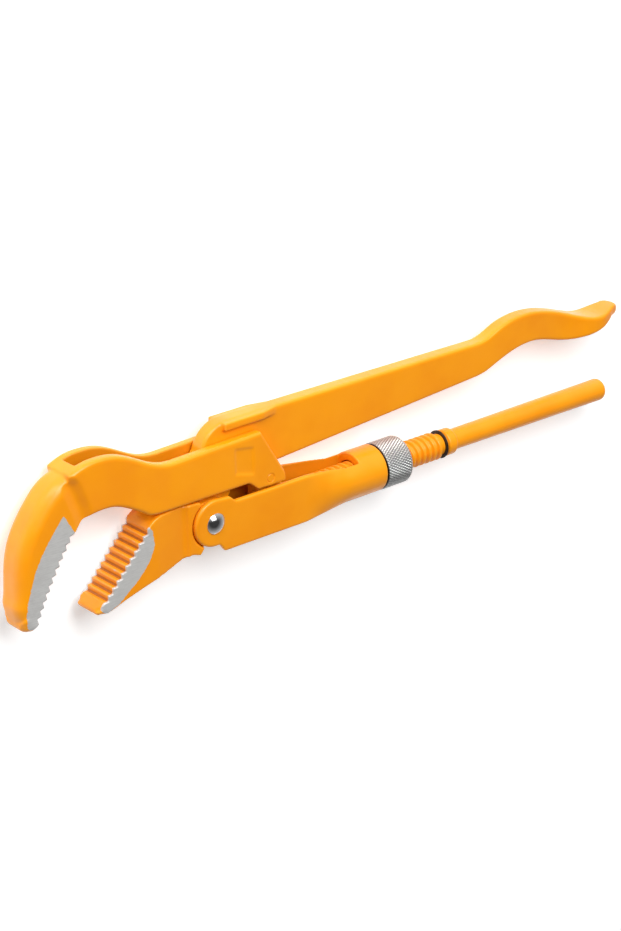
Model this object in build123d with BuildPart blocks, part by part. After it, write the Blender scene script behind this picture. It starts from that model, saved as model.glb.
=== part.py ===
"""Swedish-pattern pipe wrench, one inch size, 45 degree jaws.

The tool lies flat: +X runs along the lower grip rod, +Y points to the long
handle and Z is the tool's thickness. The origin is the centre of the pipe in
the jaws. Outlines are laid out from the pivot rivet's line (X = 0) and the
rod's axis (Y = 0) on the TOOL plane, which is set back from the origin.
"""
from build123d import *
import os
from math import asin, degrees, hypot

# ---------------------------------------------------------------- main sizes
GRIP = (-54.5, 6.5)        # pipe centre, from the rivet's line and the rod's axis
TOOL = Plane(origin=(-GRIP[0], -GRIP[1], 0))
ROD = Axis(TOOL.origin, (1, 0, 0))

PIVOT = (0.0, 3.8)         # centre of the pivot rivet
PIN = (28.0, 14.8)         # centre of the pin that joins spindle and hook jaw
EAR_R = 9.8                # round ears of the fork, on the pivot rivet
EAR_GAP = 0.5              # between an ear and the lever's rim round it

# ------------------------------------------------------------ thickness (Z)
WEB = 7.0                  # long handle and the web inside the hook jaw's slot
SLOT_CLEAR = 0.3           # side clearance of the web in that slot
SLOT = WEB + 2 * SLOT_CLEAR
PLATES = 16.0              # over both side plates of the hook jaw
HOOK_WIDTH = 14.6          # over the toothed hook
JAW_WIDTH = 14.6           # over the toothed lower jaw
THREAD_R = 5.95            # crest of the spindle's thread
BORE_CLEAR = 0.35          # radial play of the thread in channel and sleeve
FORK_WALL = 2.2            # thickness of the fork's side walls
CHANNEL = 2 * (THREAD_R + BORE_CLEAR)   # inside the fork's walls
FORK_WIDTH = CHANNEL + 2 * FORK_WALL    # over the fork's walls
LUG_CLEAR = 0.3            # side clearance of the lever's lug in the fork
LUG_WIDTH = CHANNEL - 2 * LUG_CLEAR
TONGUE = WEB               # flat front end of the spindle

# ------------------------------------------------------------- handle (A)
HANDLE_END_X = 143.0       # the straight bar ends and the curved tail starts
HANDLE_TOP_FRONT = (11.0, 42.3)
HANDLE_TOP_REAR = (HANDLE_END_X, 41.0)
HANDLE_LOW_FRONT = (36.0, 18.8)
HANDLE_LOW_REAR = (HANDLE_END_X - 2, 25.9)
TAIL_TIP_X = HANDLE_END_X + 85
TAIL_HALF_WIDTH = 7.2      # half the width of the flared tail
TAIL_FLARE_X = HANDLE_END_X + 41    # the tail starts to widen
HANDLE_ROUND = 1.2
LEDGE_Z = WEB / 2 + 2.0     # half the width of the ledge at the handle's root

# ------------------------------------------------------------ jaw teeth
TOOTH_DEPTH = 1.5
LOW_TEETH = 10
LOW_TOP = (-31.3, 10.3)    # tip of the highest tooth of the lower jaw
LOW_END = (-52.8, -13.7)
HOOK_TEETH = 11
HOOK_TOP = (-64.8, 18.6)
HOOK_END = (-82.4, -12.6)
HOOK_BOW = 0.9             # the hook's row of teeth is slightly hollow

# ------------------------------------------------------------ hook jaw (B)
SLIDE_Y = PIVOT[1] + EAR_R + 1.4    # lower edge that slides on the lever's shoulder
SHOULDER_GAP = 0.65        # free play between that edge and the shoulder
SLOT_FRONT_X = -60.7
TAIL_END_X = 35.5
TAIL_LOW_Y = 11.8
HOOK_BACK_ROUND = 5.0
PLATE_ROUND = 1.4
MARK_DEPTH = 0.4           # plain recess in the front plate

# ------------------------------------------------------------ fork (C)
EAR_TOP = PIVOT[1] + EAR_R
EAR_LOW = PIVOT[1] - EAR_R
LUG_R = EAR_R - 0.5        # lever's lug between the ears
FORK_TOP = 10.6
FLOOR_Y = -(THREAD_R + BORE_CLEAR) - 0.1    # inside floor of the channel
FORK_LOW = FLOOR_Y - 3.0
FLOOR_FRONT_X = 10.5
BOX_END_X = 46.0           # square section ends here
SLEEVE_X = 68.0            # round section starts here
SLEEVE_BORE_R = THREAD_R + BORE_CLEAR
SLEEVE_R = SLEEVE_BORE_R + 3.6
SLEEVE_END_X = 87.8
CHANNEL_END_X = 75.0

# ------------------------------------------------------------ rivet and pin
RIVET_R = 3.5
RIVET_HEAD_R = RIVET_R + 0.9
RIVET_HEAD_H = 1.9
PIN_R = 1.75
RUNNING = 0.05             # radial clearance of every turning fit
SEAT = 0.01                # radial clearance of every fixed fit

# ------------------------------------------------------------ spindle (D)
THREAD_ROOT_R = THREAD_R - 1.35
THREAD_PITCH = 3.0
THREAD_FRONT_X = 52.0
THREAD_END_X = 122.5
THREAD_CLEAR = 0.12        # play between the threads of spindle and nut
RING_X = THREAD_END_X + 1.8
RING_LENGTH = 0.7
RING_R = THREAD_R + 0.1
COLLAR_X = RING_X + RING_LENGTH + 1.2
COLLAR_END_X = COLLAR_X + 4.8
COLLAR_R = THREAD_R - 0.25
ROD_FRONT_R = 4.45
ROD_END_R = 4.9
ROD_END_X = 221.4

# ------------------------------------------------------------ nut and its ring
NUT_R = SLEEVE_R + 0.1
NUT_X = SLEEVE_END_X + 0.3
NUT_LENGTH = 13.7
NUT_END_X = NUT_X + NUT_LENGTH
NECK_R = SLEEVE_BORE_R + 1.7    # sleeve neck that carries the nut
NECK_END_X = SLEEVE_END_X + 4.6
CLIP_X = SLEEVE_END_X + 1.6     # spring ring that keeps the nut on the neck
CLIP_LENGTH = 1.0
CLIP_IN_R = NECK_R - 0.55
CLIP_OUT_R = NECK_R + 0.6


def along(x):
    """Plane across the rod at a distance x from the rivet's line."""
    return Plane(
        origin=(TOOL.origin.X + x, TOOL.origin.Y, 0), x_dir=(0, 1, 0), z_dir=(1, 0, 0)
    )


def plan(y):
    """Plane seen from the handle's top edge, at height y above the rod."""
    return Plane(
        origin=(TOOL.origin.X, TOOL.origin.Y + y, 0), x_dir=(1, 0, 0), z_dir=(0, -1, 0)
    )


def tooth_points(first, last, count, depth, bow):
    """Tips and roots of a row of teeth; the roots lie to the right of the way."""
    dx, dy = last[0] - first[0], last[1] - first[1]
    size = hypot(dx, dy)
    side = (-dy / size, dx / size)
    points = []
    for i in range(2 * count + 1):
        t = i / (2 * count)
        off = 4 * bow * t * (1 - t) + (depth if i % 2 else 0)
        points.append((first[0] + t * dx + off * side[0], first[1] + t * dy + off * side[1]))
    return points


def handle_side():
    """Side outline of the long handle with the web that the hook jaw rides on."""
    end = HANDLE_END_X
    with BuildSketch(TOOL) as side:
        with BuildLine():
            top = Line(HANDLE_TOP_FRONT, HANDLE_TOP_REAR)
            lobe = TangentArc(HANDLE_TOP_FRONT, (-2.6, 32), tangent=-(top % 0))
            Line(lobe @ 1, (-24, 11))
            crest = Spline(
                HANDLE_TOP_REAR, (end + 13, 44.8), (end + 27, 47.4), (end + 44, 44.9),
                (end + 60, 39.4), (end + 71, 37.3), (end + 82, 39.2),
                tangents=(top % 1, (1, 0.1)),
            )
            low = Line(HANDLE_LOW_REAR, HANDLE_LOW_FRONT)
            belly = Spline(
                (end + 82.8, 34.8), (end + 73, 31.5), (end + 62, 29.3), (end + 50, 30.2),
                (end + 35, 33.7), (end + 20, 32.1), (end + 9, 28.2), HANDLE_LOW_REAR,
                tangents=((-1, -0.15), low % 0),
            )
            ThreePointArc(crest @ 1, (TAIL_TIP_X, 37.5), belly @ 0)
            Line(HANDLE_LOW_FRONT, (13, HANDLE_LOW_FRONT[1]))
            Line((13, HANDLE_LOW_FRONT[1]), (11.4, 17.2))
            Line((11.4, 17.2), (11.4, 12))
            Line((11.4, 12), (6, 5))
            Line((6, 5), (-24, 11))
        make_face()
    return side.sketch


def handle_plan():
    """Prism with the plan outline of the same bar: flat, flared at the tail."""
    end = HANDLE_END_X
    with BuildPart() as prism:
        with BuildSketch(plan(-10)):
            with BuildLine():
                Line((-30, WEB / 2), (TAIL_FLARE_X, WEB / 2))
                Spline(
                    (TAIL_FLARE_X, WEB / 2), (end + 57, WEB / 2 + 1.3), (end + 71, TAIL_HALF_WIDTH),
                    tangents=((1, 0), (1, 0)),
                )
                Spline(
                    (end + 71, TAIL_HALF_WIDTH), (end + 79, TAIL_HALF_WIDTH - 1.9),
                    (TAIL_TIP_X + 1.0, 0),
                    tangents=((1, 0.0), (0, -1)),
                )
                Line((TAIL_TIP_X + 1.0, 0), (-30, 0))
                Line((-30, 0), (-30, WEB / 2))
            make_face()
            mirror(about=Plane.XZ)
        extrude(amount=-70)
    return prism.part


def jaw_outline():
    """Side outline of the lower jaw, its shoulder and the rim round the ears."""
    rim = EAR_R + EAR_GAP
    shoulder = SLIDE_Y - SHOULDER_GAP
    low = (-4.4, PIVOT[1] - (rim**2 - 4.4**2) ** 0.5)
    high = (-6.0, PIVOT[1] + (rim**2 - 6.0**2) ** 0.5)
    teeth = tooth_points(LOW_TOP, LOW_END, LOW_TEETH, TOOTH_DEPTH, 0)
    with BuildSketch(TOOL) as outline:
        with BuildLine():
            Polyline(high, (-6.0, shoulder - 0.35), (-11, shoulder), (-21, shoulder))
            Spline(
                (-21, shoulder), (-27.5, 13.4), LOW_TOP,
                tangents=((-1, 0), (-0.75, -1)),
            )
            Polyline(*teeth)
            Line(LOW_END, (-56.2, -16.6))
            ThreePointArc((-56.2, -16.6), (-55.6, -18.2), (-53.4, -18.6))
            Spline(
                (-53.4, -18.6), (-45.8, -16.7), (-24, -10.6), (-10.4, -6.9),
                tangents=((1, 0.05), (1, 0.2)),
            )
            Line((-10.4, -6.9), (-6.6, -8.2))
            Line((-6.6, -8.2), low)
            ThreePointArc(low, (-rim, PIVOT[1]), high)
        make_face()
    return outline.sketch


def side_dish():
    """Shallow hollow in each side of the lower jaw, between grinding and rim."""
    half = JAW_WIDTH / 2
    with BuildPart() as dish:
        with BuildSketch(plan(-14)):
            with BuildLine():
                Spline((-27, half), (-20, half - 0.7), (-14.6, half - 1.3))
                Spline((-14.6, half - 1.3), (-12.9, half - 0.9), (-12.0, half))
                Line((-12.0, half), (-27, half))
            make_face()
            mirror(about=Plane.XZ)
        extrude(amount=-32)
    return dish.part


def make_lever():
    """Long handle, web, lower jaw and pivot lug: one forging."""
    with BuildPart() as lever:
        add(handle_side())
        extrude(amount=TAIL_HALF_WIDTH + 1, both=True)
        add(handle_plan(), mode=Mode.INTERSECT)
        fillet(long_edges(lever.part), HANDLE_ROUND)
        with BuildSketch(plan(38.8)):
            Polygon(
                (8, LEDGE_Z), (27, LEDGE_Z), (35, WEB / 2), (35, -WEB / 2),
                (27, -LEDGE_Z), (8, -LEDGE_Z), align=None,
            )
        extrude(amount=-3.1)
        add(jaw_outline())
        extrude(amount=JAW_WIDTH / 2, both=True)
        add(side_dish(), mode=Mode.SUBTRACT)
        with BuildSketch(TOOL):
            with Locations(PIVOT):
                Circle(LUG_R)
            Polygon(
                (-EAR_R - 3.2, EAR_LOW + 1.4), (0, EAR_LOW + 0.6), (0, EAR_TOP - 1),
                (-EAR_R - 3.2, EAR_TOP - 1), align=None,
            )
        extrude(amount=LUG_WIDTH / 2, both=True)
        with BuildSketch(TOOL):
            with Locations(PIVOT):
                Circle(RIVET_R + RUNNING)
        extrude(amount=LUG_WIDTH, both=True, mode=Mode.SUBTRACT)
    lever.part.label = "lever"
    return lever.part


def long_edges(part):
    """Edges of the bar where its side faces meet its top and bottom faces."""
    return [
        e for e in part.edges()
        if abs((e @ 0.5).Z) > 1 and abs((e % 0.5).X) > 0.5 and (e @ 0.5).Y > TOOL.origin.Y + 13
    ]


def plate_outline():
    """Side outline of the hook jaw's two side plates."""
    with BuildSketch(TOOL) as outline:
        with BuildLine():
            Polyline(
                (-22, SLIDE_Y), (18.2, SLIDE_Y), (21.9, TAIL_LOW_Y), (TAIL_END_X, TAIL_LOW_Y),
                (TAIL_END_X, 15.9), (32.6, 20.7), (23.9, 35.3), (-18, 34.2),
            )
            Spline(
                (-18, 34.2), (-27, 35.9), (-36, 40.4), (-46, 44.3), (-55, 44.9), (-66, 41.8),
                tangents=((-1, 0), (-1, -0.45)),
            )
            Line((-66, 41.8), (-64, 33))
            Line((-64, 33), (-60.5, 22.6))
            Spline(
                (-60.5, 22.6), (-54, 24.1), (-46.6, 23.9), (-40, 21.4), (-33, 17.4),
                (-22, SLIDE_Y),
                tangents=((1, 0.45), (1, 0)),
            )
        make_face()
    return outline.sketch


def make_plates():
    """Both side plates in one block, rounded along their upper edges."""
    with BuildPart() as plates:
        add(plate_outline())
        extrude(amount=PLATES / 2, both=True)
        rims = [
            e for e in plates.edges()
            if abs((e @ 0.5).Z) > PLATES / 2 - 0.1 and (e @ 0.5).Y > TOOL.origin.Y + 18
            and (e @ 0.5).X > TOOL.origin.X - 62
        ]
        fillet(rims, PLATE_ROUND)
    return plates.part


def hook_outline():
    """Side outline of the toothed hook."""
    teeth = tooth_points(HOOK_END, HOOK_TOP, HOOK_TEETH, TOOTH_DEPTH, HOOK_BOW)
    with BuildSketch(TOOL) as outline:
        with BuildLine():
            Polyline(*teeth)
            Line(HOOK_TOP, (-60, 22.9))
            Line((-60, 22.9), (-58, 34))
            Line((-58, 34), (-62, 42.2))
            Spline(
                (-62, 42.2), (-70.5, 39.4), (-79, 31.6), (-85.8, 21.3), (-89.3, 9), (-90.3, -3.0),
                (-89.1, -11.9),
                tangents=((-1, -0.25), (0.35, -1)),
            )
            ThreePointArc((-89.1, -11.9), (-87.8, -15.1), (-85.3, -15.7))
            Line((-85.3, -15.7), HOOK_END)
        make_face()
    return outline.sketch


def make_hook_jaw():
    """Toothed hook and the two plates that straddle the lever's web."""
    with BuildPart() as jaw:
        add(hook_outline())
        extrude(amount=HOOK_WIDTH / 2, both=True)
        back = [
            e for e in jaw.part.edges()
            if abs((e @ 0.5).Z) > 1 and (e @ 0.5).X < TOOL.origin.X - 70 and e.length > 30
        ]
        fillet(back, HOOK_BACK_ROUND)
        add(make_plates())
        with BuildSketch(TOOL):
            with Locations((SLOT_FRONT_X + 60, 30)):
                Rectangle(120, 60)
        extrude(amount=SLOT / 2, both=True, mode=Mode.SUBTRACT)
        with BuildSketch(TOOL):
            with Locations(PIN):
                Circle(PIN_R + SEAT)
        extrude(amount=PLATES, both=True, mode=Mode.SUBTRACT)
        with BuildSketch(TOOL.offset(PLATES / 2 - MARK_DEPTH)):
            Polygon((10.5, 31.6), (10.7, 21.0), (19.8, 18.6), (19.8, 30.0), align=None)
        extrude(amount=MARK_DEPTH + 1, mode=Mode.SUBTRACT)
    jaw.part.label = "hook_jaw"
    return jaw.part


def make_fork_link():
    """Forked link: two ears, an open channel and the sleeve that holds the nut."""
    half = FORK_WIDTH / 2
    with BuildPart() as fork:
        with BuildSketch(TOOL):
            with Locations(PIVOT):
                Circle(EAR_R)
            Polygon(
                (0, EAR_LOW), (2.2, EAR_LOW), (4.6, FORK_LOW), (BOX_END_X, FORK_LOW),
                (BOX_END_X, FORK_TOP), (10, FORK_TOP), (7.4, EAR_TOP - 0.6), (0, EAR_TOP),
                align=None,
            )
        extrude(amount=half, both=True)
        fillet(fork.edges().filter_by(GeomType.LINE).filter_by(Axis.X), 1.0)
        with BuildSketch(along(BOX_END_X)):
            with Locations(((FORK_TOP + FORK_LOW) / 2, 0)):
                RectangleRounded(FORK_TOP - FORK_LOW, FORK_WIDTH, 1.0)
        with BuildSketch(along(SLEEVE_X)):
            Circle(SLEEVE_R)
        loft()
        with BuildSketch(along(SLEEVE_X)):
            Circle(SLEEVE_R)
        extrude(amount=SLEEVE_END_X - SLEEVE_X)
        with BuildSketch(along(SLEEVE_END_X)):
            Circle(NECK_R)
        extrude(amount=NECK_END_X - SLEEVE_END_X)
        # the channel for the spindle, open on top
        with BuildSketch(TOOL):
            Polygon(
                (-20, -20), (FLOOR_FRONT_X, -20), (FLOOR_FRONT_X, FLOOR_Y),
                (CHANNEL_END_X, FLOOR_Y), (CHANNEL_END_X, 30), (-20, 30), align=None,
            )
        extrude(amount=CHANNEL / 2, both=True, mode=Mode.SUBTRACT)
        with BuildSketch(along(CHANNEL_END_X - 1)):
            Circle(SLEEVE_BORE_R)
        extrude(amount=40, mode=Mode.SUBTRACT)
        # groove for the nut's ring
        with BuildSketch(along(CLIP_X - 0.05)):
            Circle(NECK_R + 1)
            Circle(CLIP_IN_R - SEAT, mode=Mode.SUBTRACT)
        extrude(amount=CLIP_LENGTH + 0.1, mode=Mode.SUBTRACT)
        with BuildSketch(TOOL):
            with Locations(PIVOT):
                Circle(RIVET_R + SEAT)
        extrude(amount=FORK_WIDTH, both=True, mode=Mode.SUBTRACT)
    fork.part.label = "fork_link"
    return fork.part


def thread_ridge(start, length, play):
    """Helical ridge of the thread; play makes it fuller, to cut the nut's groove."""
    wide = THREAD_PITCH * 0.36 + play
    thin = THREAD_PITCH * 0.18 + play
    inner = THREAD_ROOT_R - 0.3
    centre = along(start).origin
    with BuildPart(mode=Mode.PRIVATE) as ridge:
        with BuildLine() as path:
            Helix(THREAD_PITCH, length, inner, center=centre, direction=(1, 0, 0))
        out = (path.line @ 0) - centre
        with BuildSketch(Plane(origin=path.line @ 0, x_dir=out, z_dir=path.line % 0)):
            Polygon(
                (0, -wide), (THREAD_R - inner + play, -thin),
                (THREAD_R - inner + play, thin), (0, wide), align=None,
            )
        sweep(path=path.line, is_frenet=True)
    return ridge.part


def make_spindle():
    """Threaded lower handle: flat tongue, thread, collar and plain grip rod."""
    tongue_r = PIN_R + 1.05
    with BuildPart() as spindle:
        with BuildSketch(TOOL):
            with BuildLine():
                Line((50.5, 0), (50.5, 3.6))
                Line((50.5, 3.6), (THREAD_FRONT_X, THREAD_ROOT_R))
                Line((THREAD_FRONT_X, THREAD_ROOT_R), (RING_X - 0.05, THREAD_ROOT_R))
                Line((RING_X - 0.05, THREAD_ROOT_R), (COLLAR_X, THREAD_ROOT_R))
                Line((COLLAR_X, THREAD_ROOT_R), (COLLAR_X, COLLAR_R - 0.4))
                Line((COLLAR_X, COLLAR_R - 0.4), (COLLAR_X + 0.4, COLLAR_R))
                Line((COLLAR_X + 0.4, COLLAR_R), (COLLAR_END_X - 0.6, COLLAR_R))
                Line((COLLAR_END_X - 0.6, COLLAR_R), (COLLAR_END_X + 0.4, ROD_FRONT_R))
                Line((COLLAR_END_X + 0.4, ROD_FRONT_R), (ROD_END_X - 2.2, ROD_END_R))
                RadiusArc((ROD_END_X - 2.2, ROD_END_R), (ROD_END_X, ROD_END_R - 2.4), 2.4)
                Line((ROD_END_X, ROD_END_R - 2.4), (ROD_END_X, 0))
                Line((ROD_END_X, 0), (50.5, 0))
            make_face()
        revolve(axis=ROD)
        with BuildSketch(TOOL):
            with BuildLine():
                Line((PIN[0] - tongue_r, PIN[1]), (PIN[0] - tongue_r, 5))
                Line((PIN[0] - tongue_r, 5), (36, -4.4))
                Line((36, -4.4), (53.5, -4.4))
                Line((53.5, -4.4), (53.5, 4.4))
                Line((53.5, 4.4), (41, 5.4))
                Line((41, 5.4), (PIN[0] + tongue_r, PIN[1]))
                ThreePointArc(
                    (PIN[0] + tongue_r, PIN[1]), (PIN[0], PIN[1] + tongue_r),
                    (PIN[0] - tongue_r, PIN[1]),
                )
            make_face()
        extrude(amount=TONGUE / 2, both=True)
        with BuildSketch(TOOL):
            with Locations(PIN):
                Circle(PIN_R + RUNNING)
        extrude(amount=TONGUE, both=True, mode=Mode.SUBTRACT)
        add(thread_ridge(THREAD_FRONT_X, THREAD_END_X - THREAD_FRONT_X, 0))
    spindle.part.label = "spindle"
    return spindle.part


def make_nut():
    """Adjusting nut: barrel tapped for the spindle, counterbored over the sleeve's neck."""
    turns = int((NUT_X - THREAD_FRONT_X) / THREAD_PITCH)
    start = THREAD_FRONT_X + THREAD_PITCH * turns
    with BuildPart(mode=Mode.PRIVATE) as tap:
        with BuildSketch(along(start - 2)):
            Circle(THREAD_ROOT_R + THREAD_CLEAR)
        extrude(amount=NUT_END_X - start + 6)
        add(thread_ridge(start, NUT_END_X - start + THREAD_PITCH * 0.5, THREAD_CLEAR))
    with BuildPart() as nut:
        with BuildSketch(along(NUT_X)):
            Circle(NUT_R)
        extrude(amount=NUT_LENGTH)
        rims = nut.edges().filter_by(GeomType.CIRCLE)
        chamfer([e for e in rims if e.radius > NUT_R - 0.1], 0.6)
        add(tap.part, mode=Mode.SUBTRACT)
        with BuildSketch(along(NUT_X)):
            Circle(NECK_R + RUNNING)
        extrude(amount=NECK_END_X - NUT_X + 0.4, mode=Mode.SUBTRACT)
        with BuildSketch(along(CLIP_X - 0.1)):
            Circle(CLIP_OUT_R + 0.1)
        extrude(amount=CLIP_LENGTH + 0.2, mode=Mode.SUBTRACT)
    nut.part.label = "adjusting_nut"
    return nut.part


def make_nut_clip():
    """Split spring ring between the sleeve's groove and the nut's groove."""
    with BuildPart() as clip:
        with BuildSketch(along(CLIP_X)):
            Circle(CLIP_OUT_R)
            Circle(CLIP_IN_R, mode=Mode.SUBTRACT)
            with Locations((-CLIP_OUT_R, 0)):
                Rectangle(4, 2.5, mode=Mode.SUBTRACT)
        extrude(amount=CLIP_LENGTH)
    clip.part.label = "nut_clip"
    return clip.part


def make_stop_ring():
    """Dark ring seated behind the thread: the nut's stop."""
    with BuildPart() as ring:
        with BuildSketch(along(RING_X)):
            Circle(RING_R)
            Circle(THREAD_ROOT_R + SEAT, mode=Mode.SUBTRACT)
        extrude(amount=RING_LENGTH)
        rims = ring.edges().filter_by(GeomType.CIRCLE)
        chamfer([e for e in rims if e.radius > RING_R - 0.1], 0.2)
    ring.part.label = "stop_ring"
    return ring.part


def make_pivot_rivet():
    """Rivet with a domed head on each ear."""
    seat = FORK_WIDTH / 2 + SEAT
    top = FORK_WIDTH / 2 + RIVET_HEAD_H
    ball = ((top - seat) ** 2 + RIVET_HEAD_R**2) / (2 * (top - seat))
    centre = Vector(TOOL.origin.X + PIVOT[0], TOOL.origin.Y + PIVOT[1], 0)
    with BuildPart() as rivet:
        with BuildSketch(Plane(origin=centre, x_dir=(1, 0, 0), z_dir=(0, -1, 0))):
            with BuildLine():
                Polyline((0, -top), (0, top))
                CenterArc((0, top - ball), ball, 90, -degrees(asin(RIVET_HEAD_R / ball)))
                Polyline(
                    (RIVET_HEAD_R, seat), (RIVET_R, seat), (RIVET_R, -seat), (RIVET_HEAD_R, -seat),
                )
                CenterArc((0, ball - top), ball, -90, degrees(asin(RIVET_HEAD_R / ball)))
            make_face()
        revolve(axis=Axis(centre, (0, 0, 1)))
    rivet.part.label = "pivot_rivet"
    return rivet.part


def make_hook_pin():
    """Flush pin that joins the spindle's tongue to the hook jaw's tail."""
    with BuildPart() as pin:
        with BuildSketch(TOOL):
            with Locations(PIN):
                Circle(PIN_R)
        extrude(amount=PLATES / 2, both=True)
        chamfer(pin.edges().filter_by(GeomType.CIRCLE), 0.25)
    pin.part.label = "hook_pin"
    return pin.part


def main():
    os.makedirs("parts", exist_ok=True)
    for make in (
        make_lever, make_hook_jaw, make_fork_link, make_spindle, make_nut,
        make_nut_clip, make_stop_ring, make_pivot_rivet, make_hook_pin,
    ):
        part = make()
        export_step(part, f"parts/{part.label}.step")
        print(part.label, round(part.volume, 1), len(part.solids()), part.is_valid)


if __name__ == "__main__":
    main()
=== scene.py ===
import math

import bmesh
import bpy
import numpy as np
from mathutils import Matrix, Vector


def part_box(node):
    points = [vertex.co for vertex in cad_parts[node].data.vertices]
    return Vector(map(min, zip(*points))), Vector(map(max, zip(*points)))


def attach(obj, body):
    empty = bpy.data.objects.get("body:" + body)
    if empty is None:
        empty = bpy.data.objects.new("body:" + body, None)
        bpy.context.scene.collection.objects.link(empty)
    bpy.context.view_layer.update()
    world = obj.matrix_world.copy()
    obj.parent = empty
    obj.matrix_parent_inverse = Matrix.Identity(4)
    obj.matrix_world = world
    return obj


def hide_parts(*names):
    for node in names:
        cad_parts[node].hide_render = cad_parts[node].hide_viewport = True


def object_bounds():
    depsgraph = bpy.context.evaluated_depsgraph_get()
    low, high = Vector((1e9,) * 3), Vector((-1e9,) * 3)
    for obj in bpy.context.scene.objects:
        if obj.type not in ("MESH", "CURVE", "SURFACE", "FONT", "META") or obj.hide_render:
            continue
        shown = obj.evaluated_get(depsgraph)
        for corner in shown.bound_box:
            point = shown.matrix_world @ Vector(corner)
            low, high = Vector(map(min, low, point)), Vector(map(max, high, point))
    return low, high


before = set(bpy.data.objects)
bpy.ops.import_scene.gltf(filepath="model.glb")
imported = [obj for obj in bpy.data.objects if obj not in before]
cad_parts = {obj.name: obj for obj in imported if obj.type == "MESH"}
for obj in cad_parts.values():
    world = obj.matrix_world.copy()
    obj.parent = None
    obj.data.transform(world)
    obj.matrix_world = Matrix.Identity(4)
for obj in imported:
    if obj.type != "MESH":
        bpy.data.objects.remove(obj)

# Shapes are laid out in millimetres from the rivet's line (X = 0) and the rod's axis (Y = 0).
MM = 0.001
LAYOUT = np.array((54.5, -6.5, 0.0))     # that origin in the row frame, mm
CAD_BOX = [[float(c) for c in corner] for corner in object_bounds()]


# ---- camera, stage and light ----

LENS = 96.67               # mm, on a frame 36 mm high
FLOOR_HALF = 2.0           # m
FLOOR_DROP = 0.0004        # m, the floor's depth below the tool
FLOOR_GREY = 0.80
FLOOR_GLOW = 0.46


def placed(name, data):
    """A new object in the scene."""
    thing = bpy.data.objects.new(name, data)
    bpy.context.scene.collection.objects.link(thing)
    return thing


def stand(thing, right, up, back, place):
    """Puts a camera or a light at its place, facing away from its back."""
    thing.matrix_world = Matrix((
        (right[0], up[0], back[0], place[0]),
        (right[1], up[1], back[1], place[1]),
        (right[2], up[2], back[2], place[2]),
        (0.0, 0.0, 0.0, 1.0),
    ))


def make_camera():
    """The photograph's view, solved from the outlines of rod, nut, sleeve and plates."""
    data = bpy.data.cameras.new("view")
    data.sensor_width = 36.0
    data.lens = LENS
    data.clip_start = 0.01
    data.clip_end = 20.0
    camera = placed("view", data)
    right = (0.76252, -0.01027, 0.64688)
    up = (0.25908, 0.92105, -0.29078)
    back = (-0.59282, 0.38932, 0.70498)
    place = (-0.481511, 0.391532, 0.702658)
    stand(camera, right, up, back, place)
    bpy.context.scene.camera = camera


def make_floor(level):
    """A plain white floor with a little light of its own, as the photograph's white ground."""
    bm = bmesh.new()
    bmesh.ops.create_grid(bm, x_segments=8, y_segments=8, size=FLOOR_HALF)
    mesh = bpy.data.meshes.new("floor")
    bm.to_mesh(mesh)
    bm.free()
    floor = placed("floor", mesh)
    floor.location = (0.1, 0.0, level)
    material = bpy.data.materials.new("floor_white")
    material.use_nodes = True
    shader = material.node_tree.nodes["Principled BSDF"]
    shader.inputs["Base Color"].default_value = (FLOOR_GREY, FLOOR_GREY, FLOOR_GREY, 1)
    shader.inputs["Roughness"].default_value = 0.95
    shader.inputs["Specular IOR Level"].default_value = 0.1
    shader.inputs["Emission Color"].default_value = (1, 1, 1, 1)
    shader.inputs["Emission Strength"].default_value = FLOOR_GLOW
    mesh.materials.append(material)


def make_light(name, place, aim, size, power, colour=(1, 1, 1)):
    """A soft rectangular light aimed at a place."""
    data = bpy.data.lights.new(name, "AREA")
    data.shape = "RECTANGLE"
    data.size = size[0]
    data.size_y = size[1]
    data.energy = power
    data.color = colour
    light = placed(name, data)
    away = np.array(place, float) - np.array(aim, float)
    away = away / np.linalg.norm(away)
    side = np.cross((0.0, 1.0, 0.2), away)
    side = side / np.linalg.norm(side)
    top = np.cross(away, side)
    stand(light, side, top, away, place)


def world_ramp(tree, reach, strengths):
    """Takes the world from one strength to another along an axis."""
    node = tree.nodes.new("ShaderNodeMapRange")
    node.inputs["From Min"].default_value = reach[0]
    node.inputs["From Max"].default_value = reach[1]
    node.inputs["To Min"].default_value = strengths[0]
    node.inputs["To Max"].default_value = strengths[1]
    return node


def make_world():
    world = bpy.data.worlds.new("studio")
    bpy.context.scene.world = world
    world.use_nodes = True
    tree = world.node_tree
    background = tree.nodes["Background"]
    way = tree.nodes.new("ShaderNodeTexCoord")
    split = tree.nodes.new("ShaderNodeSeparateXYZ")
    overhead = world_ramp(tree, (0.15, 0.85), (0.48, 0.04))     # darker overhead than at the sides
    ahead = world_ramp(tree, (0.1, 0.9), (0.0, 0.45))           # brighter on the long handle's side
    both = tree.nodes.new("ShaderNodeMath")
    tree.links.new(way.outputs["Generated"], split.inputs[0])
    tree.links.new(split.outputs["Z"], overhead.inputs["Value"])
    tree.links.new(split.outputs["Y"], ahead.inputs["Value"])
    tree.links.new(overhead.outputs[0], both.inputs[0])
    tree.links.new(ahead.outputs[0], both.inputs[1])
    tree.links.new(both.outputs[0], background.inputs["Strength"])
    background.inputs["Color"].default_value = (1.0, 1.0, 1.0, 1)


# ---- mesh tools ----

def points_of(mesh):
    """A mesh's points as rows of x, y, z in the layout's millimetres."""
    flat = np.empty(len(mesh.vertices) * 3)
    mesh.vertices.foreach_get("co", flat)
    return flat.reshape(-1, 3) / MM - LAYOUT


def put_points(mesh, points):
    mesh.vertices.foreach_set("co", ((points + LAYOUT) * MM).ravel())
    mesh.update()


def edges_of(mesh):
    flat = np.empty(len(mesh.edges) * 2, np.int64)
    mesh.edges.foreach_get("vertices", flat)
    return flat.reshape(-1, 2)


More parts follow.
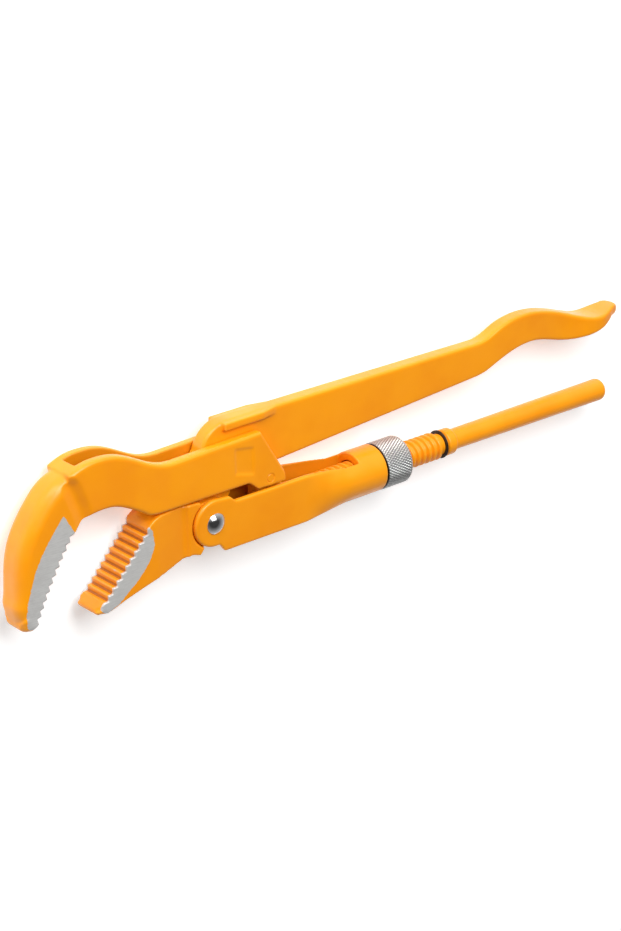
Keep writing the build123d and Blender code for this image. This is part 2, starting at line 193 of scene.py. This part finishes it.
def neighbour_mean(points, edges, count):
    """For each point, the mean of the points that share an edge with it."""
    total = np.zeros_like(points)
    for axis in range(points.shape[1]):
        total[:, axis] += np.bincount(edges[:, 0], points[edges[:, 1], axis], count)
        total[:, axis] += np.bincount(edges[:, 1], points[edges[:, 0], axis], count)
    ring = np.bincount(edges.ravel(), minlength=count)
    return total / np.maximum(ring, 1)[:, None]


def relax(points, edges, passes, weight):
    """Evens a mesh out, most where weight is 1."""
    count = len(points)
    for _ in range(passes):
        points = points + 0.5 * weight[:, None] * (neighbour_mean(points, edges, count) - points)
    return points


def relax_near(points, edges, centre, radius, passes):
    """Rounds off what lies within a radius of a place in the tool's plane."""
    d = np.hypot(points[:, 0] - centre[0], points[:, 1] - centre[1])
    near = np.flatnonzero(d < radius)
    at = np.full(len(points), -1)
    at[near] = np.arange(len(near))
    kept = at[edges]
    kept = kept[(kept >= 0).all(1)]
    weight = 1 - ease(d[near], 0.55 * radius, 0.95 * radius)
    points = points.copy()
    points[near] = relax(points[near], kept, passes, weight)
    return points


def tooth_line(first, last, count, depth, bow):
    """Tips and roots of a row of teeth; the roots lie to the left of the way."""
    dx, dy = last[0] - first[0], last[1] - first[1]
    size = math.hypot(dx, dy)
    side = (-dy / size, dx / size)
    line = []
    for i in range(2 * count + 1):
        t = i / (2 * count)
        off = 4 * bow * t * (1 - t) + (depth if i % 2 else 0)
        line.append((first[0] + t * dx + off * side[0], first[1] + t * dy + off * side[1]))
    return np.array(line)


def sharpen(points, line, reach, corner):
    """Draws the points beside a row of teeth back onto its flanks, tips and roots."""
    best = np.full(len(points), 1e9)
    spot = points[:, :2].copy()
    for a, b in zip(line[:-1], line[1:]):
        run = b - a
        t = np.clip(((points[:, :2] - a) @ run) / (run @ run), 0, 1)
        foot = a + t[:, None] * run
        d = np.hypot(*(points[:, :2] - foot).T)
        closer = d < best
        best = np.where(closer, d, best)
        spot[closer] = foot[closer]
    near = best < reach
    for tip in line:
        d = np.hypot(*(spot - tip).T)
        at = near & (d < corner)
        spot[at] = tip
    points = points.copy()
    points[near, :2] = spot[near]
    return points


def weld(mesh):
    """Joins points that sharpening brought together."""
    bm = bmesh.new()
    bm.from_mesh(mesh)
    bmesh.ops.remove_doubles(bm, verts=bm.verts, dist=0.03 * MM)
    bmesh.ops.dissolve_degenerate(bm, edges=bm.edges, dist=0.01 * MM)
    bm.to_mesh(mesh)
    bm.free()
    mesh.shade_smooth()


def normals_of(mesh):
    flat = np.empty(len(mesh.vertices) * 3)
    mesh.vertices.foreach_get("normal", flat)
    return flat.reshape(-1, 3)


def keep_value(mesh, name, values):
    """Stores one number per point, for the materials to read."""
    layer = mesh.attributes.new(name, "FLOAT", "POINT")
    layer.data.foreach_set("value", np.asarray(values, np.float32))


def root_shade(points, line, depth):
    """One at the roots of a row of teeth, zero at its tips and away from it."""
    tips = line[::2]
    below = line_distance(points, tips)
    along = 1 - ease(np.abs(line_distance(points, line)), 0.25, 0.7)
    return along * ease(below, 0.30 * depth, 0.95 * depth)


def keep_edges(mesh, passes, calm=None, painted_shade=None):
    """Stores how far each place stands proud of (edge) or below (hollow) its surroundings."""
    points = points_of(mesh)
    edges = edges_of(mesh)
    far = relax(points, edges, passes, np.ones(len(points)))
    proud = np.einsum("ij,ij->i", points - far, normals_of(mesh))
    proud = relax(proud[:, None], edges, 4, np.ones(len(points)))[:, 0]
    if calm is not None:
        proud = proud * calm(points)
    # Painted shade: the tooth roots count as deeper hollows, so they are darkened more.
    if painted_shade is not None:
        proud = proud - ROOT_PAINTED_SHADE * painted_shade
    keep_value(mesh, "proud", proud)


def remeshed(name, node, voxel):
    """A new fine mesh of a CAD node, ready to be worked on."""
    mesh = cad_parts[node].data.copy()
    mesh.materials.clear()
    bm = bmesh.new()
    bm.from_mesh(mesh)
    bmesh.ops.remove_doubles(bm, verts=bm.verts, dist=2e-6)
    bm.to_mesh(mesh)
    bm.free()
    piece = placed(name, mesh)
    grid = piece.modifiers.new("grid", "REMESH")
    grid.mode = "VOXEL"
    grid.voxel_size = voxel * MM
    grid.adaptivity = 0.0
    graph = bpy.context.evaluated_depsgraph_get()
    fine = bpy.data.meshes.new_from_object(piece.evaluated_get(graph))
    piece.modifiers.clear()
    piece.data = fine
    fine.shade_smooth()
    return piece


def line_distance(points, line):
    """Distance to an open line in the tool's plane, above zero on the line's left."""
    best = np.full(len(points), 1e9)
    side = np.ones(len(points))
    line = np.array(line, float)
    for a, b in zip(line[:-1], line[1:]):
        run = b - a
        t = ((points[:, 0] - a[0]) * run[0] + (points[:, 1] - a[1]) * run[1]) / (run @ run)
        t = np.clip(t, 0, 1)
        dx = points[:, 0] - a[0] - t * run[0]
        dy = points[:, 1] - a[1] - t * run[1]
        d = np.hypot(dx, dy)
        closer = d < best
        cross = run[0] * (points[:, 1] - a[1]) - run[1] * (points[:, 0] - a[0])
        best = np.where(closer, d, best)
        side = np.where(closer, np.sign(cross), side)
    return best * side


def region_distance(points, outline):
    """Distance to a closed outline, above zero inside it."""
    outline = np.array(outline, float)
    closed = np.vstack((outline, outline[:1]))
    d = np.abs(line_distance(points, closed))
    inside = np.zeros(len(points), bool)
    for a, b in zip(closed[:-1], closed[1:]):
        crosses = (a[1] > points[:, 1]) != (b[1] > points[:, 1])
        if a[1] != b[1]:
            at = (b[0] - a[0]) * (points[:, 1] - a[1]) / (b[1] - a[1]) + a[0]
            inside ^= crosses & (points[:, 0] < at)
    return np.where(inside, d, -d)


def ease(x, low, high):
    """Zero up to low, one from high on, smooth between."""
    t = np.clip((x - low) / (high - low), 0, 1)
    return t * t * (3 - 2 * t)


# ---- materials ----

class Look:
    """A material's node tree, with short calls for the nodes it uses."""

    def __init__(self, name):
        self.material = bpy.data.materials.new(name)
        self.material.use_nodes = True
        self.tree = self.material.node_tree
        self.shader = self.tree.nodes["Principled BSDF"]
        self.place = self.tree.nodes.new("ShaderNodeTexCoord").outputs["Object"]

    def link(self, a, b):
        self.tree.links.new(a, b)

    def noise(self, scale, detail=3.0, rough=0.5, stretch=None):
        node = self.tree.nodes.new("ShaderNodeTexNoise")
        node.inputs["Scale"].default_value = scale
        node.inputs["Detail"].default_value = detail
        node.inputs["Roughness"].default_value = rough
        source = self.place
        if stretch:
            turn = self.tree.nodes.new("ShaderNodeMapping")
            turn.inputs["Rotation"].default_value = stretch[0]
            turn.inputs["Scale"].default_value = stretch[1]
            self.link(source, turn.inputs["Vector"])
            source = turn.outputs["Vector"]
        self.link(source, node.inputs["Vector"])
        return node.outputs["Fac"]

    def ramp(self, value, low, high, out_low=0.0, out_high=1.0):
        node = self.tree.nodes.new("ShaderNodeMapRange")
        node.interpolation_type = "SMOOTHSTEP"
        node.inputs["From Min"].default_value = low
        node.inputs["From Max"].default_value = high
        node.inputs["To Min"].default_value = out_low
        node.inputs["To Max"].default_value = out_high
        self.link(value, node.inputs["Value"])
        return node.outputs["Result"]

    def math(self, a, b, how="ADD"):
        node = self.tree.nodes.new("ShaderNodeMath")
        node.operation = how
        for socket, value in zip(node.inputs, (a, b)):
            if isinstance(value, (int, float)):
                socket.default_value = value
            else:
                self.link(value, socket)
        return node.outputs[0]

    def mix(self, amount, a, b):
        node = self.tree.nodes.new("ShaderNodeMix")
        self.link(amount, node.inputs[0])
        self.link(a, node.inputs[2])
        self.link(b, node.inputs[3])
        return node.outputs[0]

    def blend(self, amount, a, b):
        node = self.tree.nodes.new("ShaderNodeMix")
        node.data_type = "RGBA"
        self.link(amount, node.inputs["Factor"])
        for socket, value in ((node.inputs[6], a), (node.inputs[7], b)):
            if isinstance(value, tuple):
                socket.default_value = (*value, 1)
            else:
                self.link(value, socket)
        return node.outputs[2]

    def value(self, name):
        node = self.tree.nodes.new("ShaderNodeAttribute")
        node.attribute_name = name
        return node.outputs["Fac"]

    def bump(self, heights):
        """heights: (value, depth in metres) pairs, one bump node after the other."""
        last = None
        for value, depth in heights:
            node = self.tree.nodes.new("ShaderNodeBump")
            node.inputs["Distance"].default_value = depth
            self.link(value, node.inputs["Height"])
            if last:
                self.link(last, node.inputs["Normal"])
            last = node.outputs["Normal"]
        self.link(last, self.shader.inputs["Normal"])

    def finish(self, colour=None, rough=None, metal=None):
        for name, value in (("Base Color", colour), ("Roughness", rough), ("Metallic", metal)):
            if value is None:
                continue
            if isinstance(value, tuple):
                self.shader.inputs[name].default_value = (*value, 1)
            elif isinstance(value, (int, float)):
                self.shader.inputs[name].default_value = value
            else:
                self.link(value, self.shader.inputs[name])
        return self.material


PAINT = (0.98, 0.345, 0.003)
PAINT_DEEP = (0.93, 0.298, 0.002)
# pale paint for random specks, and the painted highlight on edges
PAINT_PALE_AND_HIGHLIGHT = (1.0, 0.45, 0.045)
# painted shade in hollows and tooth roots
PAINT_SHADED = (0.42, 0.115, 0.002)
# painted shade inside the hook's slot and the fork's channel
PAINT_SLOT_SHADED = (0.56, 0.20, 0.004)
BARE = (0.56, 0.55, 0.53)
STEEL_LIGHT = (0.74, 0.735, 0.72)
STEEL_DARK = (0.63, 0.625, 0.61)
STEEL_DULL = (0.56, 0.55, 0.535)
# painted shadow at the nut's end, by the sleeve
GAP_SHADOW = (0.02, 0.015, 0.01)


def edge_wear_and_painted_light(look, colour, rough):
    """Paint thin and chipped on edges, their lightening partly a painted highlight, and painted shade
    in hollows: colour, roughness, chips.
    """
    proud = look.value("proud")
    # Thin paint on proud edges, partly a painted highlight: edges are lightened, standing in for light
    # catching them.
    thin = look.ramp(proud, 0.05, 0.22, 0.0, 0.55)
    colour = look.blend(thin, colour, PAINT_PALE_AND_HIGHLIGHT)
    # Painted shade: hollows, and the tooth roots folded into them, are darkened.
    hollow = look.ramp(proud, -0.24, -0.03, 0.85, 0.0)
    colour = look.blend(hollow, colour, PAINT_SHADED)
    rubbed = look.ramp(look.noise(420.0, 4.0, 0.65), 0.60, 0.66)
    sharp = look.ramp(proud, 0.13, 0.26)
    chip = look.math(rubbed, sharp, "MULTIPLY")
    colour = look.blend(chip, colour, BARE)
    rough = look.math(rough, look.math(chip, 0.08, "MULTIPLY"))
    return colour, rough, chip


def ground_steel(look, colour, rough, metal):
    """Steel ground bare where "ground" is above 0: colour, roughness, metal and its bumps."""
    edge = look.math(look.value("ground"), look.math(look.noise(900.0, 3.0, 0.6), -0.5))
    steel = look.ramp(edge, -0.10, 0.10)
    lines = look.noise(1.0, 5.0, 0.62, ((0, 0, math.radians(58)), (260.0, 5200.0, 900.0)))
    cloud = look.noise(210.0, 4.0, 0.6)
    grey = look.blend(look.ramp(lines, 0.3, 0.7), STEEL_DARK, STEEL_LIGHT)
    grey = look.blend(look.ramp(cloud, 0.40, 0.75, 0.0, 0.4), grey, STEEL_DULL)
    colour = look.blend(steel, colour, grey)
    steel_rough = look.ramp(lines, 0.3, 0.7, 0.38, 0.52)
    rough = look.mix(steel, rough, steel_rough)
    metal = look.math(metal, look.math(steel, 0.35, "MULTIPLY"), "MAXIMUM")
    scratches = look.math(lines, steel, "MULTIPLY")
    return colour, rough, metal, [(steel, -0.000015), (scratches, 0.000012)]


def paint_look(name, edges=True, ground=False, inside=False):
    """Orange paint with a faint orange peel, and the layers that a piece has besides."""
    look = Look(name)
    broad = look.noise(38.0, 3.0, 0.55)
    colour = look.blend(look.ramp(broad, 0.35, 0.68), PAINT, PAINT_DEEP)
    colour = look.blend(look.ramp(broad, 0.30, 0.80, 0.55, 0.0), colour, PAINT)
    speck = look.noise(2600.0, 2.0, 0.6)
    colour = look.blend(look.ramp(speck, 0.62, 0.80, 0.0, 0.22), colour, PAINT_PALE_AND_HIGHLIGHT)
    if inside:
        # Painted shade: inner walls of slots and channels are darkened.
        colour = look.blend(look.value("inside"), colour, PAINT_SLOT_SHADED)
    rough = look.ramp(look.noise(160.0, 4.0, 0.6), 0.3, 0.7, 0.30, 0.42)
    metal = 0.0
    peel = look.noise(620.0, 2.0, 0.5)
    swell = look.noise(95.0, 2.0, 0.5)
    heights = [(swell, 0.00010), (peel, 0.000022)]
    if edges:
        colour, rough, metal = edge_wear_and_painted_light(look, colour, rough)
        heights.append((metal, -0.00004))
    if ground:
        colour, rough, metal, bumps = ground_steel(look, colour, rough, metal)
        heights += bumps
    look.bump(heights)
    look.shader.inputs["IOR"].default_value = 1.5
    look.shader.inputs["Specular IOR Level"].default_value = 0.4
    look.shader.inputs["Coat Weight"].default_value = 0.15
    look.shader.inputs["Coat Roughness"].default_value = 0.2
    return look.finish(colour, rough, metal)


def metal_look(name, light, dark, rough, grain, depth, knurled=False):
    """Plated or bare metal between two greys; knurled metal gets painted shade in its grooves, painted
    highlights on its points and a painted shadow at its end.
    """
    look = Look(name)
    fine = look.noise(grain, 4.0, 0.6)
    cloud = look.noise(140.0, 3.0, 0.55)
    colour = look.blend(look.ramp(fine, 0.3, 0.7), dark, light)
    colour = look.blend(look.ramp(cloud, 0.35, 0.8, 0.0, 0.4), colour, dark)
    if knurled:
        proud = look.value("proud")
        # Painted shade in the knurl's grooves and painted highlights on its points.
        groove_shade = tuple(0.35 * c for c in dark)
        colour = look.blend(look.ramp(proud, -0.12, 0.0, 0.85, 0.0), colour, groove_shade)
        colour = look.blend(look.ramp(proud, 0.02, 0.10, 0.0, 0.7), colour, (0.93, 0.93, 0.92))
        # Painted shadow: near black where the nut meets the sleeve.
        colour = look.blend(look.value("painted_shade"), colour, GAP_SHADOW)
    look.bump([(fine, depth)])
    return look.finish(colour, look.ramp(fine, 0.25, 0.75, rough[0], rough[1]), 1.0)


def black_look(name):
    """Blackened spring steel, rubbed in places."""
    look = Look(name)
    fine = look.noise(900.0, 4.0, 0.6)
    rub = look.ramp(look.noise(260.0, 3.0, 0.6), 0.62, 0.75, 0.0, 0.6)
    colour = look.blend(look.ramp(fine, 0.3, 0.7), (0.012, 0.010, 0.009), (0.035, 0.03, 0.027))
    colour = look.blend(rub, colour, (0.12, 0.11, 0.10))
    look.bump([(fine, 0.00002)])
    return look.finish(colour, look.ramp(fine, 0.3, 0.7, 0.32, 0.5), 0.4)


# ---- pieces ----

FORGING_VOXEL = 0.38
HOOK_VOXEL = 0.36
SPINDLE_VOXEL = 0.27
JAW_HALF = 7.3             # half the width over hook and lower jaw
TOOTH_DEPTH = 1.5
TOOTH_REACH = 0.34         # how far from its outline a tooth is drawn sharp
TOOTH_CORNER = 0.30
TOOTH_ZONE = (0.9, 2.2)    # relaxing fades in between these distances from the teeth
# how much darker the tooth roots are painted, as painted shade
ROOT_PAINTED_SHADE = 0.13
EDGE_PASSES = 10
RELAX_PASSES = 8
HOOK_NOSE = (-88.2, -14.6)
JAW_NOSE = (-55.8, -17.8)
TAIL_Y = 37.4              # height of the tail's end
TAIL_BOW = 2.4             # how far the tail's end is rounded back at its sides

# ground steel beside the teeth, the crease between hook and plates, and the ends of the jaws
HOOK_GROUND = [
    (-64.8, 19.6), (-69.2, 27.1), (-73.0, 22.7), (-76.4, 18.5), (-79.8, 13.5), (-82.7, 8.4),
    (-84.9, 2.2), (-86.6, -3.3), (-87.3, -8.4), (-87.2, -13.3), (-86.0, -16.5), (-78.0, -15.0),
    (-60.0, 12.0),
]
HOOK_VALLEY = [
    (-70.0, 46.0), (-67.0, 38.9), (-64.9, 36.7), (-63.6, 33.7), (-62.3, 30.3), (-61.0, 26.9),
    (-60.1, 23.3), (-59.0, 17.0),
]
JAW_GROUND = [
    (-31.7, 12.4), (-29.4, 9.1), (-28.5, 3.0), (-30.9, -2.5), (-33.9, -6.2), (-36.8, -9.0),
    (-42.2, -13.1), (-46.5, -16.3), (-52.0, -18.5), (-58.0, -13.0), (-33.0, 13.5),
]
HOOK_TIP = [
    (-89.9, -8.5), (-89.1, -11.9), (-88.6, -13.8), (-87.8, -15.1), (-86.6, -15.6), (-85.3, -15.7),
]
JAW_TIP = [
    (-54.8, -15.4), (-56.2, -16.6), (-56.4, -17.6), (-55.6, -18.2), (-53.4, -18.6), (-51.0, -18.2),
]


def round_end(points, line, radius, centre, reach):
    """Narrows a jaw towards its end, so both of its side edges run round the tip."""
    inward = np.minimum(np.abs(line_distance(points, line)), radius)
    width = JAW_HALF - radius + np.sqrt(np.maximum(radius**2 - (radius - inward) ** 2, 0))
    away = np.hypot(points[:, 0] - centre[0], points[:, 1] - centre[1])
    amount = 1 - ease(away, reach[0], reach[1])
    points = points.copy()
    points[:, 2] *= 1 + amount * (width / JAW_HALF - 1)
    return points


LOW_TEETH = tooth_line((-31.3, 10.3), (-52.8, -13.7), 10, TOOTH_DEPTH, 0)
HOOK_TEETH = tooth_line((-82.4, -12.6), (-64.8, 18.6), 11, TOOTH_DEPTH, 0.9)
PIN = (28.0, 14.8)


def beside_teeth(points, line):
    """One at a row of teeth, zero away from it."""
    return 1.0 - ease(np.abs(line_distance(points, line)), *TOOTH_ZONE)


def away_from_pin(points):
    """Zero round the flush pin's ends, one elsewhere."""
    return ease(np.hypot(points[:, 0] - PIN[0], points[:, 1] - PIN[1]), 2.6, 4.2)


def make_hook():
    """Hook jaw: relaxed forging, narrowed tip, crease behind the hook, sharp teeth."""
    piece = remeshed("hook_jaw_forging", "hook_jaw", HOOK_VOXEL)
    mesh = piece.data
    points = points_of(mesh)
    edges = edges_of(mesh)
    teeth = beside_teeth(points, HOOK_TEETH)
    points = relax(points, edges, RELAX_PASSES, (1.0 - teeth) * away_from_pin(points))
    points = round_end(points, HOOK_TIP, radius=3.4, centre=HOOK_NOSE, reach=(2.6, 5.5))
    points = relax_near(points, edges, (-88.8, -13.4), radius=6.0, passes=14)
    side = line_distance(points, HOOK_VALLEY)          # above zero towards the handle
    valley, plate_rise, hook_rise = 6.1, 1.9, 1.3
    to_plate = valley + plate_rise * ease(side, 0.0, 4.2)
    to_hook = valley + hook_rise * ease(-side, 0.0, 5.5)
    height = np.where(side > 0, to_plate, to_hook)
    over = np.abs(points[:, 2]) > height
    points[over, 2] = np.sign(points[over, 2]) * height[over]
    crease = 1.0 - ease(np.abs(side), 2.0, 7.0)
    points = relax(points, edges, 6, crease * (1.0 - teeth))
    points = sharpen(points, HOOK_TEETH, TOOTH_REACH, TOOTH_CORNER)
    put_points(mesh, points)
    weld(mesh)
    points = points_of(mesh)
    ground = region_distance(points, HOOK_GROUND)
    keep_value(mesh, "ground", np.where(np.abs(points[:, 2]) > 6.5, ground, -5.0))
    # Painted shade: the walls inside the slot between the plates are darkened.
    slot_shade = (1 - ease(np.abs(points[:, 2]), 3.9, 4.5)) * ease(points[:, 0], -61.5, -60.5)
    keep_value(mesh, "inside", 0.8 * slot_shade)
    keep_edges(mesh, EDGE_PASSES, away_from_pin, root_shade(points, HOOK_TEETH, TOOTH_DEPTH))
    mesh.materials.append(paint_look("paint_hook_look", ground=True, inside=True))
    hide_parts("hook_jaw")
    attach(piece, "hook")


def make_lever():
    """Lever: relaxed forging with a rounded nose, a rounded tail end and sharp teeth."""
    piece = remeshed("lever_forging", "lever", FORGING_VOXEL)
    mesh = piece.data
    points = points_of(mesh)
    edges = edges_of(mesh)
    teeth = beside_teeth(points, LOW_TEETH)
    points = relax(points, edges, RELAX_PASSES, 1.0 - teeth)
    points = round_end(points, JAW_TIP, radius=2.2, centre=JAW_NOSE, reach=(1.8, 4.5))
    points = relax_near(points, edges, (-56.4, -17.2), radius=4.0, passes=4)
    end = points[:, 0].max()               # the tail's end is rounded across the thickness
    across = np.clip(np.abs(points[:, 2]) / 5.0, 0, 1)
    points[:, 0] -= TAIL_BOW * across**2 * ease(points[:, 0], end - 8.0, end - 1.0)
    points = relax_near(points, edges, (end - 1.5, TAIL_Y), radius=7.0, passes=8)
    points = sharpen(points, LOW_TEETH, TOOTH_REACH, TOOTH_CORNER)
    put_points(mesh, points)
    weld(mesh)
    points = points_of(mesh)
    ground = region_distance(points, JAW_GROUND)
    keep_value(mesh, "ground", np.where(np.abs(points[:, 2]) > 6.6, ground, -5.0))
    keep_edges(mesh, EDGE_PASSES, None, root_shade(points, LOW_TEETH, TOOTH_DEPTH))
    mesh.materials.append(paint_look("paint_lever_look", ground=True))
    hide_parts("lever")
    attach(piece, "lever")


def make_fork():
    """Fork link, its channel's walls darkened with painted shade."""
    piece = remeshed("fork_link_forging", "fork_link", FORGING_VOXEL)
    mesh = piece.data
    points = points_of(mesh)
    edges = edges_of(mesh)
    points = relax(points, edges, 5, np.ones(len(points)))
    put_points(mesh, points)
    # Painted shade: the walls inside the channel are darkened.
    channel = 1 - ease(np.abs(points[:, 2]), 6.3, 6.9)
    along = ease(points[:, 0], -4, 0) * (1 - ease(points[:, 0], 74, 75))
    keep_value(mesh, "inside", 0.7 * channel * along)
    keep_edges(mesh, EDGE_PASSES)
    mesh.materials.append(paint_look("paint_fork_look", inside=True))
    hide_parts("fork_link")
    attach(piece, "fork")


def make_spindle():
    """Spindle, relaxed a little, so its thread stays crisp."""
    piece = remeshed("spindle_bar", "spindle", SPINDLE_VOXEL)
    mesh = piece.data
    points = points_of(mesh)
    edges = edges_of(mesh)
    points = relax(points, edges, 3, np.ones(len(points)))
    put_points(mesh, points)
    keep_edges(mesh, EDGE_PASSES)
    mesh.materials.append(paint_look("paint_spindle_look"))
    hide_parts("spindle")
    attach(piece, "spindle")


def lathe(name, profile, around):
    """A closed ring turned about the spindle's axis, from a closed (x, r) profile."""
    profile = np.array(profile, float)
    rows = len(profile)
    angle = np.arange(around) * 2 * math.pi / around
    x = np.repeat(profile[:, 0][:, None], around, 1)
    r = np.repeat(profile[:, 1][:, None], around, 1)
    points = np.stack((x, r * np.cos(angle)[None, :], r * np.sin(angle)[None, :]), -1)
    points = points.reshape(-1, 3)
    here = np.arange(rows * around).reshape(rows, around)
    below = np.roll(here, -1, 0)
    faces = np.stack((here, np.roll(here, -1, 1), np.roll(below, -1, 1), below), -1).reshape(-1, 4)
    mesh = bpy.data.meshes.new(name)
    mesh.from_pydata(((points + LAYOUT) * MM).tolist(), [], faces.tolist())
    mesh.update()
    mesh.shade_smooth()
    return placed(name, mesh)


KNURL_TURNS = 50           # grooves round the nut, each way
KNURL_DEPTH = 0.34
NUT_CHAMFER = 0.9
NUT_BORE = 6.5
NUT_COUNTERBORE = 8.75
NUT_RINGS = 68             # rings of points along the knurl
NUT_AROUND = 400           # points round each ring


def knurl_cut(x, angle, span, radius):
    """Depth of the diamond knurl's grooves at a place on the nut's skin."""
    lean = KNURL_TURNS / (2 * math.pi * radius) * 0.62 * 2
    round_way = KNURL_TURNS * angle / (2 * math.pi)
    along_way = lean * (x - span[0]) / 2
    right = np.abs(((round_way + along_way) % 1.0) - 0.5) * 2
    left = np.abs(((round_way - along_way) % 1.0) - 0.5) * 2
    cut = np.maximum(ease(right, 0.42, 0.95), ease(left, 0.42, 0.95))
    skin = ease(x, span[0] + 0.2, span[0] + 0.8) * (1 - ease(x, span[1] - 0.5, span[1] - 0.05))
    return KNURL_DEPTH * cut * skin


def make_nut():
    """Counterbored barrel with rounded ends, turned and then knurled."""
    low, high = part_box("adjusting_nut")
    x0 = low.x / MM - LAYOUT[0]
    x1 = high.x / MM - LAYOUT[0]
    radius = (high.z - low.z) / MM / 2
    edge = radius - NUT_CHAMFER
    quarter = math.pi / 2
    length = x1 - x0 - 2 * NUT_CHAMFER
    profile = [(x0, NUT_COUNTERBORE), (x0, edge)]
    for t in (0.25, 0.5, 0.75):
        profile.append((x0 + NUT_CHAMFER * t, edge + NUT_CHAMFER * math.sin(t * quarter)))
    for i in range(NUT_RINGS + 1):
        profile.append((x0 + NUT_CHAMFER + length * i / NUT_RINGS, radius))
    for t in (0.25, 0.5, 0.75, 1.0):
        profile.append((x1 - NUT_CHAMFER + NUT_CHAMFER * t, edge + NUT_CHAMFER * math.cos(t * quarter)))
    step = x0 + 4.8                                    # the counterbore's floor
    profile += [(x1, NUT_BORE + 0.7), (x1 - 0.7, NUT_BORE), (step, NUT_BORE), (step, NUT_COUNTERBORE)]

    piece = lathe("nut_barrel", profile, NUT_AROUND)
    mesh = piece.data
    points = points_of(mesh)
    r = np.hypot(points[:, 1], points[:, 2])
    angle = np.arctan2(points[:, 2], points[:, 1])
    outer = r > edge + 0.05
    cut = knurl_cut(points[:, 0], angle, (x0, x1), radius) * outer
    scale = (r - cut) / r
    points[:, 1] *= scale
    points[:, 2] *= scale
    put_points(mesh, points)
    bm = bmesh.new()
    bm.from_mesh(mesh)
    bmesh.ops.recalc_face_normals(bm, faces=bm.faces)
    bm.to_mesh(mesh)
    bm.free()
    # How far the knurl stands proud, for its painted shade and highlights.
    keep_value(mesh, "proud", np.where(outer, 0.08 - cut * 0.5, 0.0))
    # Painted shadow: the nut's end by the sleeve is coloured near black.
    keep_value(mesh, "painted_shade", 1 - ease(points_of(mesh)[:, 0], x0 + 0.35, x0 + 0.8))
    look = metal_look("zinc_knurl", (0.70, 0.70, 0.69), (0.44, 0.44, 0.435), (0.26, 0.42),
                      1500.0, 0.00001, knurled=True)
    mesh.materials.append(look)
    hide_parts("adjusting_nut")
    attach(piece, "nut")


RIVET_RISE = 1.85          # height of the rivet's domes
RIVET_RINGS = 14
RIVET_AROUND = 72


def make_rivet():
    """Domed rivet: a profile from pole to pole, turned about the pivot."""
    low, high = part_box("pivot_rivet")
    top = high.z / MM
    head = (high.x - low.x) / MM / 2
    centre = ((high.x + low.x) / MM / 2, (high.y + low.y) / MM / 2)
    shank = head - 0.9
    ball = (RIVET_RISE**2 + head**2) / (2 * RIVET_RISE)
    reach = math.asin(head / ball)
    rim = top - RIVET_RISE + 0.02
    half = []
    for i in range(1, RIVET_RINGS):
        turn = reach * i / RIVET_RINGS
        half.append((top - ball + ball * math.cos(turn), ball * math.sin(turn)))
    half += [(rim + 0.08, head - 0.03), (rim, head - 0.12), (rim, shank), (0.0, shank)]
    profile = half + [(-z, r) for z, r in reversed(half[:-1])]
    around = RIVET_AROUND
    points = [(centre[0], centre[1], top)]
    for z, r in profile:
        for i in range(around):
            a = 2 * math.pi * i / around
            points.append((centre[0] + r * math.cos(a), centre[1] + r * math.sin(a), z))
    points.append((centre[0], centre[1], -top))
    pairs = [(i, (i + 1) % around) for i in range(around)]
    faces = [(0, 1 + i, 1 + j) for i, j in pairs]
    for k in range(len(profile) - 1):
        a = 1 + k * around
        b = a + around
        faces += [(a + i, b + i, b + j, a + j) for i, j in pairs]
    last = 1 + (len(profile) - 1) * around
    pole = len(points) - 1
    faces += [(last + i, pole, last + j) for i, j in pairs]
    mesh = bpy.data.meshes.new("rivet_domed")
    mesh.from_pydata([tuple(c * MM for c in p) for p in points], [], faces)
    mesh.update()
    mesh.shade_smooth()
    piece = placed("rivet_domed", mesh)
    look = metal_look("rivet_chrome", (0.90, 0.90, 0.91), (0.78, 0.78, 0.80), (0.07, 0.15),
                      700.0, 0.000003)
    mesh.materials.append(look)
    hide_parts("pivot_rivet")
    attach(piece, "fork")


def finish_nodes():
    """New materials for the three CAD nodes that stay as they are."""
    looks = {
        "nut_clip": metal_look("clip_steel", (0.55, 0.54, 0.52), (0.35, 0.34, 0.33), (0.30, 0.45),
                               900.0, 0.00001),
        "stop_ring": black_look("ring_black"),
        "hook_pin": paint_look("paint_pin_look", edges=False),
    }
    for node, look in looks.items():
        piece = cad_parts[node]
        if len(piece.data.materials) == 0:
            piece.data.materials.append(look)
        for slot in piece.material_slots:
            slot.material = look


make_camera()
make_floor(CAD_BOX[0][2] - FLOOR_DROP)
make_world()
make_light("key", (-0.35, 1.05, 0.55), (0.1, 0.0, 0.0), (1.2, 0.5), 9.0, (1.0, 0.985, 0.96))
make_light("fill", (0.10, 0.75, 1.05), (0.1, 0.0, 0.0), (0.7, 0.7), 11.0)
bpy.context.scene.view_settings.view_transform = "Standard"
make_hook()
make_lever()
make_fork()
make_spindle()
make_nut()
make_rivet()
finish_nodes()
